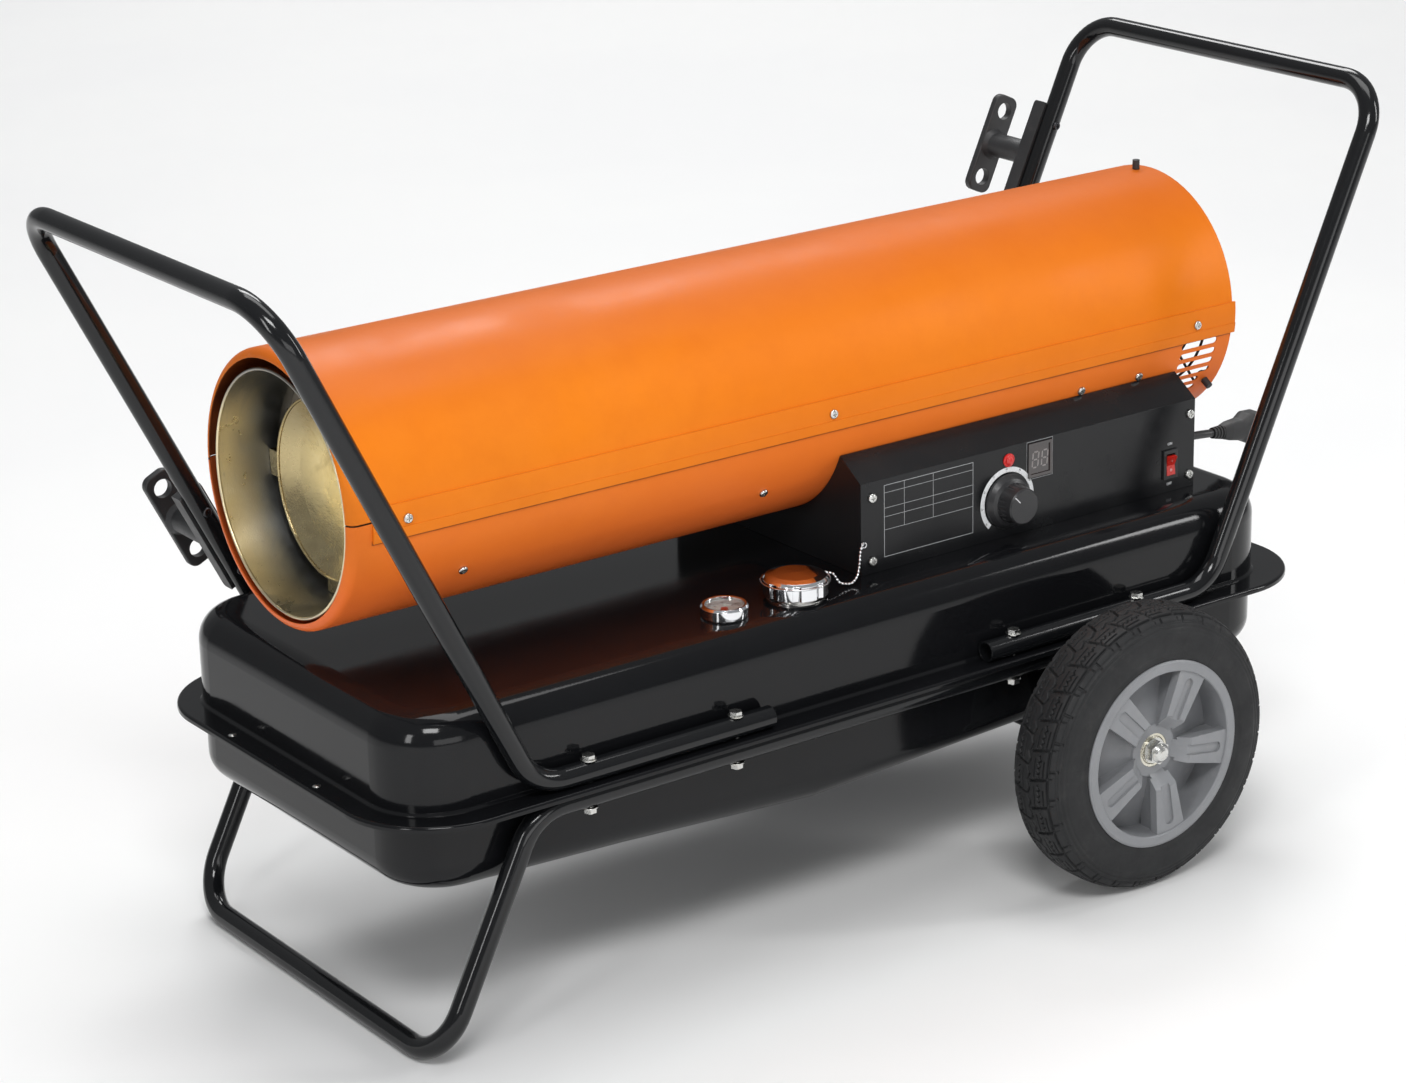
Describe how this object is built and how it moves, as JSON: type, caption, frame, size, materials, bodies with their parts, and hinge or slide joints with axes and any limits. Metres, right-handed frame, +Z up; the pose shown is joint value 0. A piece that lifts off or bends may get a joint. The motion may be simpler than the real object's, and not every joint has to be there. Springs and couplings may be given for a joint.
{
  "type": "forced air heater",
  "caption": "Portable oil-fired forced air heater: a barrel over a pressed fuel tank, with tube handles, a front stand, wheels and a control box with thermostat.",
  "frame": {"origin": "on the floor under the middle of the object's box, where the tyres and the front stand touch the floor", "axes": "+X towards the fan and wheel end, -X is the hot air outlet, -Y is the control panel side, +Z up"},
  "size_m": [1.1734, 0.603, 0.6713],
  "materials": {
    "shell_paint": "gloss orange enamel",
    "black_enamel": "gloss black enamel",
    "box_paint": "satin black powder coat",
    "heat_steel": "heat tinted sheet steel",
    "zinc": "zinc plated",
    "black_screw": "black oxide screws",
    "guard_wire": "black coated wire",
    "motor_paint": "grey-black motor enamel",
    "shaft_steel": "turned steel",
    "cast_alloy": "die cast",
    "fan_alloy": "pressed sheet",
    "carbon": "carbon vanes and rotor",
    "ceramic": "glazed insulator with steel rods",
    "brass": "turned",
    "hose": "black hose",
    "fuel_hose": "translucent nylon line",
    "chrome": "polished",
    "neck_steel": "plated neck",
    "lens": "clear window",
    "needle_red": "red pointer",
    "float_foam": "closed cell float",
    "board": "circuit board",
    "knob_black": "fluted knob",
    "lamp_red": "red lens",
    "display_dark": "dark window in a black frame",
    "switch_black": "switch body",
    "rocker_red": "red rocker",
    "cord_black": "cord jacket",
    "plug_black": "moulded plug with plated pins",
    "wrap_black": "moulded cord wrap",
    "tyre": "treaded",
    "rim_grey": "moulded five-spoke rim",
    "bearing_steel": "bearing rings"
  },
  "bodies": {
    "heater": {"upper_shell": "shell_paint", "lower_shell": "shell_paint", "shell_screws": "zinc", "fan_guard": "guard_wire", "guard_pins": "black_screw", "nozzle_cone": "heat_steel", "flame_dish": "heat_steel", "combustion_chamber": "heat_steel", "burner_head": "heat_steel", "spark_electrode": "ceramic", "barrel_support": "box_paint", "motor_bracket": "zinc", "motor_stator": "motor_paint", "pump_body": "cast_alloy", "pressure_gauge": "brass", "air_line": "hose", "fuel_line": "fuel_hose", "tank_top": "black_enamel", "tank_bottom": "black_enamel", "drain_plug": "zinc", "filler_neck": "neck_steel", "cap_chain": "chrome", "gauge_body": "chrome", "gauge_lens": "lens", "control_cover": "box_paint", "control_panel": "box_paint", "panel_screws": "zinc", "control_board": "board", "indicator_lamp": "lamp_red", "display_module": "display_dark", "switch_body": "switch_black", "cord_grommet": "cord_black", "power_cord": "cord_black", "power_plug": "plug_black", "front_handle": "black_enamel", "rear_handle": "black_enamel", "support_frame": "black_enamel", "handle_bolts": "zinc", "handle_nuts": "zinc", "front_cord_wrap": "wrap_black", "rear_cord_wrap": "wrap_black", "wrap_screws": "black_screw", "axle": "shaft_steel", "axle_nuts": "zinc"},
    "left_wheel": {"left_tyre": "tyre", "left_rim": "rim_grey", "left_bearings": "bearing_steel"},
    "right_wheel": {"right_tyre": "tyre", "right_rim": "rim_grey", "right_bearings": "bearing_steel"},
    "rotor": {"motor_rotor": "shaft_steel", "fan": "fan_alloy", "pump_rotor": "carbon"},
    "cap_lift": {"cap_plate": "neck_steel"},
    "cap": {"filler_cap": "chrome"},
    "knob": {"thermostat_knob": "knob_black"},
    "rocker": {"switch_rocker": "rocker_red"},
    "float": {"gauge_float": "float_foam"},
    "needle": {"gauge_needle": "needle_red"},
    "adjuster": {"pump_adjuster": "brass"}
  },
  "joints": [
    {"name": "left_wheel_spin", "type": "hinge", "parent": "heater", "child": "left_wheel", "pos_m": [0.2315, -0.2565, 0.13], "axis": [0, 1, 0], "continuous": true},
    {"name": "right_wheel_spin", "type": "hinge", "parent": "heater", "child": "right_wheel", "pos_m": [0.2315, 0.2565, 0.13], "axis": [0, 1, 0], "continuous": true},
    {"name": "rotor_spin", "type": "hinge", "parent": "heater", "child": "rotor", "pos_m": [0.32, 0, 0.448], "axis": [1, 0, 0], "continuous": true},
    {"name": "cap_lift", "type": "slide", "parent": "heater", "child": "cap_lift", "axis": [0, 0, 1], "range_m": [0, 0.04]},
    {"name": "cap_turn", "type": "hinge", "parent": "cap_lift", "child": "cap", "pos_m": [-0.051, -0.141, 0.315], "axis": [0, 0, 1], "range_deg": [0, 90]},
    {"name": "knob_turn", "type": "hinge", "parent": "heater", "child": "knob", "pos_m": [0.1887, -0.145, 0.333], "axis": [0, 1, 0], "range_deg": [0, 270]},
    {"name": "rocker_tilt", "type": "hinge", "parent": "heater", "child": "rocker", "pos_m": [0.3846, -0.1335, 0.326], "axis": [-1, 0, 0], "range_deg": [0, 16]},
    {"name": "float_slide", "type": "slide", "parent": "heater", "child": "float", "axis": [0, 0, 1], "range_m": [0, 0.112]},
    {"name": "needle_turn", "type": "hinge", "parent": "heater", "child": "needle", "pos_m": [-0.126, -0.14, 0.3], "axis": [0, 0, 1], "range_deg": [-250, 0]},
    {"name": "adjuster_turn", "type": "hinge", "parent": "heater", "child": "adjuster", "pos_m": [0.415, -0.02, 0.462], "axis": [1, 0, 0], "range_deg": [-360, 360]}
  ],
  "couplings": [
    {"joint": "needle_turn", "follows": "float_slide", "rad_per_m": -38.95}
  ]
}
